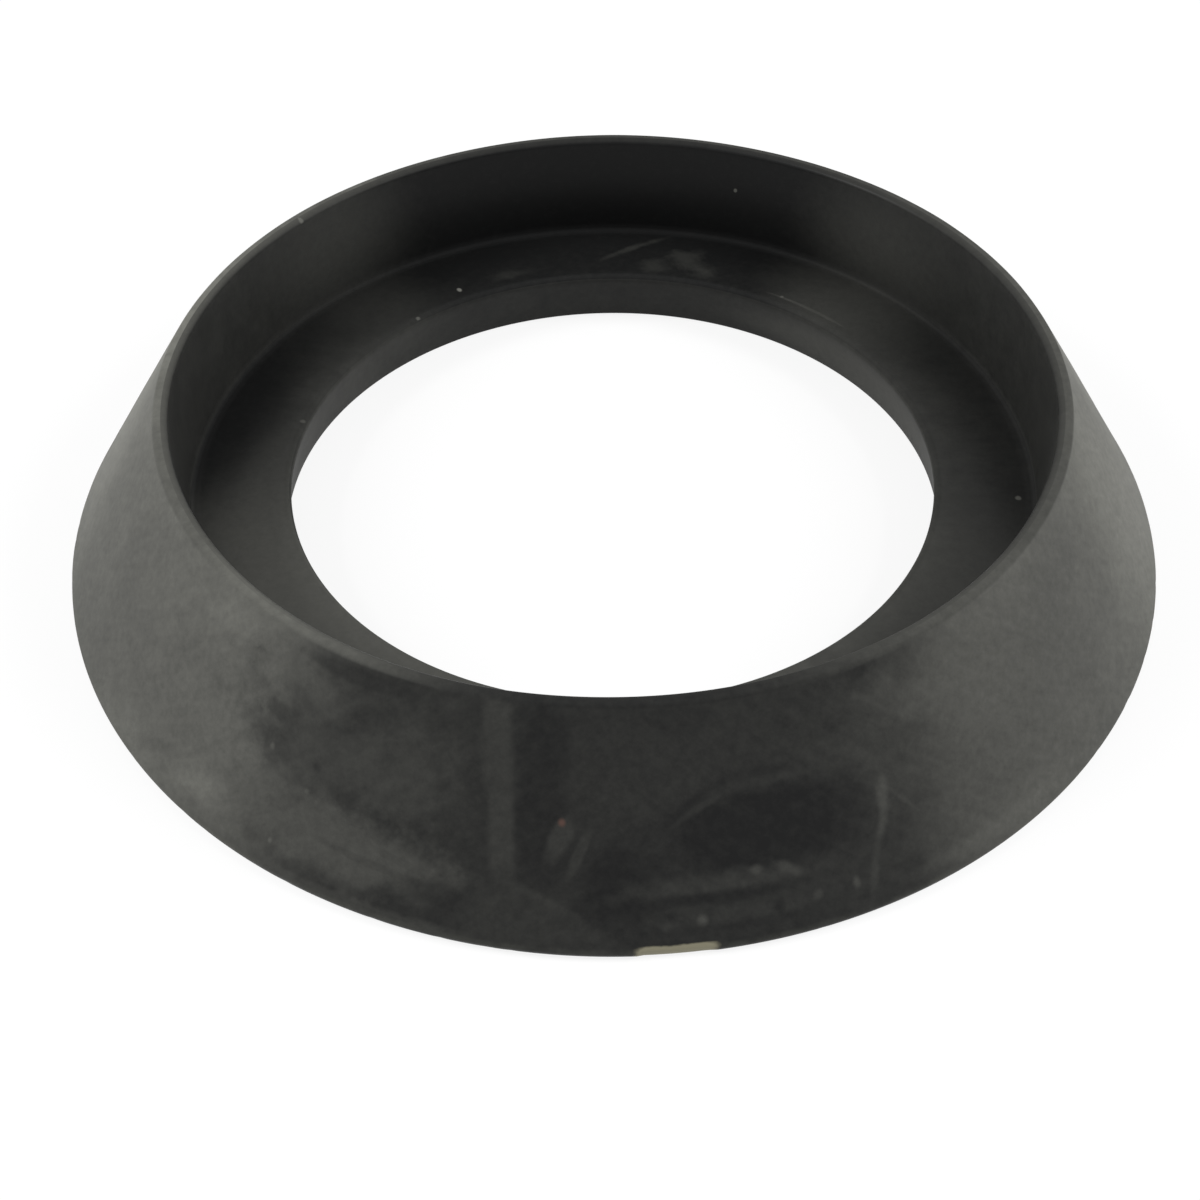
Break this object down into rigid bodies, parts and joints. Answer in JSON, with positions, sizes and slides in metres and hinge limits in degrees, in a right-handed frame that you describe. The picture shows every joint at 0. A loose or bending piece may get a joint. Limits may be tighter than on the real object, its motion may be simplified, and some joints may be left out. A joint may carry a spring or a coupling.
{
  "type": "tank to bowl gasket",
  "caption": "Moulded rubber sealing ring: flat base, plain cone outside, thin lip on top, round recess for a backnut inside it and a round bore through its floor.",
  "frame": {"origin": "centre of the base's flat underside", "axes": "+Z along the ring's axis, from the flat base towards the thin lip"},
  "size_m": [0.102, 0.102, 0.0168],
  "materials": {
    "rubber": "moulded, dull satin with a grey bloom"
  },
  "bodies": {
    "root": {"gasket": "rubber"}
  },
  "joints": []
}
